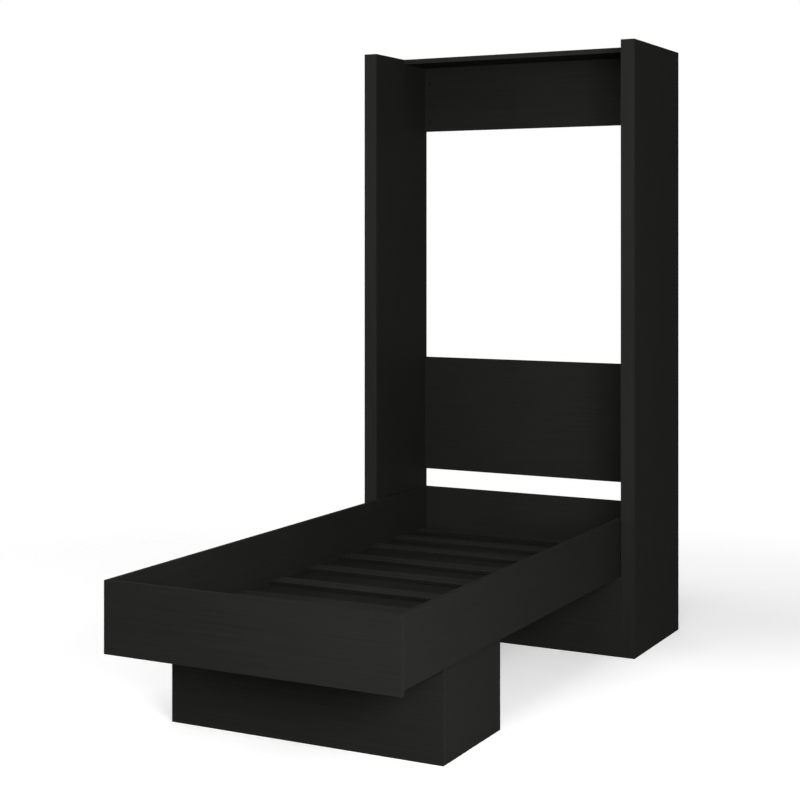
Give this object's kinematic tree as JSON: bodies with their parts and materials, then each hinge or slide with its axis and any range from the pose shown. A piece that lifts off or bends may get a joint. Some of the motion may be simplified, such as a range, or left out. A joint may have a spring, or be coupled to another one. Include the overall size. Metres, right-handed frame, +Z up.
{
  "type": "murphy wall bed",
  "caption": "Black single wall bed: a tray-shaped bed box on side pivots folds up into an open cabinet and rests on a box pedestal when lowered.",
  "frame": {"origin": "on the floor, at the centre of the footprint of the lowered bed and its cabinet", "axes": "+X from the left to the right of someone at the foot looking at the bed, +Y from the foot of the bed to the wall, +Z up"},
  "size_m": [1.072, 2.143, 2.16],
  "materials": {
    "black_laminate": "matte black melamine-faced board with a fine grain",
    "slat_wood": "black stained softwood, sawn grain",
    "raw_board": "unfaced softwood",
    "cap_plastic": "moulded black cap",
    "zinc_steel": "zinc-plated steel",
    "bush_bronze": "sintered bronze",
    "strut_black": "satin black paint"
  },
  "bodies": {
    "cabinet": {"top_panel": "black_laminate", "header_panel": "black_laminate", "middle_back_panel": "black_laminate", "base_front_panel": "black_laminate", "side_outer_panel_left": "black_laminate", "side_outer_panel_right": "black_laminate", "side_inner_panel_left": "black_laminate", "side_inner_panel_right": "black_laminate", "side_front_stile_left": "black_laminate", "side_front_stile_right": "black_laminate", "side_rear_spacer_left": "black_laminate", "side_rear_spacer_right": "black_laminate", "side_top_spacer_left": "black_laminate", "side_top_spacer_right": "black_laminate", "side_foot_spacer_left": "raw_board", "side_foot_spacer_right": "raw_board", "base_corner_block_left": "raw_board", "base_corner_block_right": "raw_board", "wall_bracket_left": "zinc_steel", "wall_bracket_right": "zinc_steel", "pivot_bush_left": "bush_bronze", "pivot_bush_right": "bush_bronze", "strut_anchor_left": "zinc_steel", "strut_anchor_right": "zinc_steel", "header_cap_lower_left": "cap_plastic", "header_cap_lower_right": "cap_plastic", "header_cap_upper_left": "cap_plastic", "header_cap_upper_right": "cap_plastic"},
    "bed_box": {"footboard": "black_laminate", "headboard": "black_laminate", "floor_panel": "black_laminate", "slat_01": "slat_wood", "slat_02": "slat_wood", "slat_03": "slat_wood", "slat_04": "slat_wood", "slat_05": "slat_wood", "slat_06": "slat_wood", "slat_07": "slat_wood", "slat_08": "slat_wood", "slat_09": "slat_wood", "slat_10": "slat_wood", "side_rail_left": "black_laminate", "side_rail_right": "black_laminate", "pivot_shaft_left": "zinc_steel", "pivot_shaft_right": "zinc_steel", "lift_crank_left": "zinc_steel", "lift_crank_right": "zinc_steel", "pedestal_front": "black_laminate", "pedestal_back": "black_laminate", "pedestal_side_left": "black_laminate", "pedestal_side_right": "black_laminate", "pedestal_base": "black_laminate", "pedestal_cleat_front": "raw_board", "pedestal_cleat_back": "raw_board"},
    "strut_cylinder_left": {"strut_cylinder_left": "strut_black"},
    "strut_rod_left": {"strut_rod_left": "zinc_steel"},
    "strut_cylinder_right": {"strut_cylinder_right": "strut_black"},
    "strut_rod_right": {"strut_rod_right": "zinc_steel"}
  },
  "joints": [
    {"name": "bed_tilt", "type": "hinge", "parent": "cabinet", "child": "bed_box", "pos_m": [0, 0.7005, 0.381], "axis": [-1, 0, 0], "range_deg": [0, 90]},
    {"name": "strut_swing_left", "type": "hinge", "parent": "cabinet", "child": "strut_cylinder_left", "pos_m": [-0.5105, 0.86267, 0.91535], "axis": [-1, 0, 0], "range_deg": [-1.6, 0]},
    {"name": "strut_stroke_left", "type": "slide", "parent": "strut_cylinder_left", "child": "strut_rod_left", "axis": [0, -0.0694, -0.9976], "range_m": [0, 0.2684]},
    {"name": "strut_swing_right", "type": "hinge", "parent": "cabinet", "child": "strut_cylinder_right", "pos_m": [0.5105, 0.86267, 0.91535], "axis": [-1, 0, 0], "range_deg": [-1.6, 0]},
    {"name": "strut_stroke_right", "type": "slide", "parent": "strut_cylinder_right", "child": "strut_rod_right", "axis": [0, -0.0694, -0.9976], "range_m": [0, 0.2684]}
  ],
  "couplings": [
    {"joint": "strut_swing_left", "follows": "bed_tilt", "ratio": -0.017739},
    {"joint": "strut_stroke_left", "follows": "bed_tilt", "m_per_rad": 0.17081},
    {"joint": "strut_swing_right", "follows": "bed_tilt", "ratio": -0.017739},
    {"joint": "strut_stroke_right", "follows": "bed_tilt", "m_per_rad": 0.17081}
  ]
}
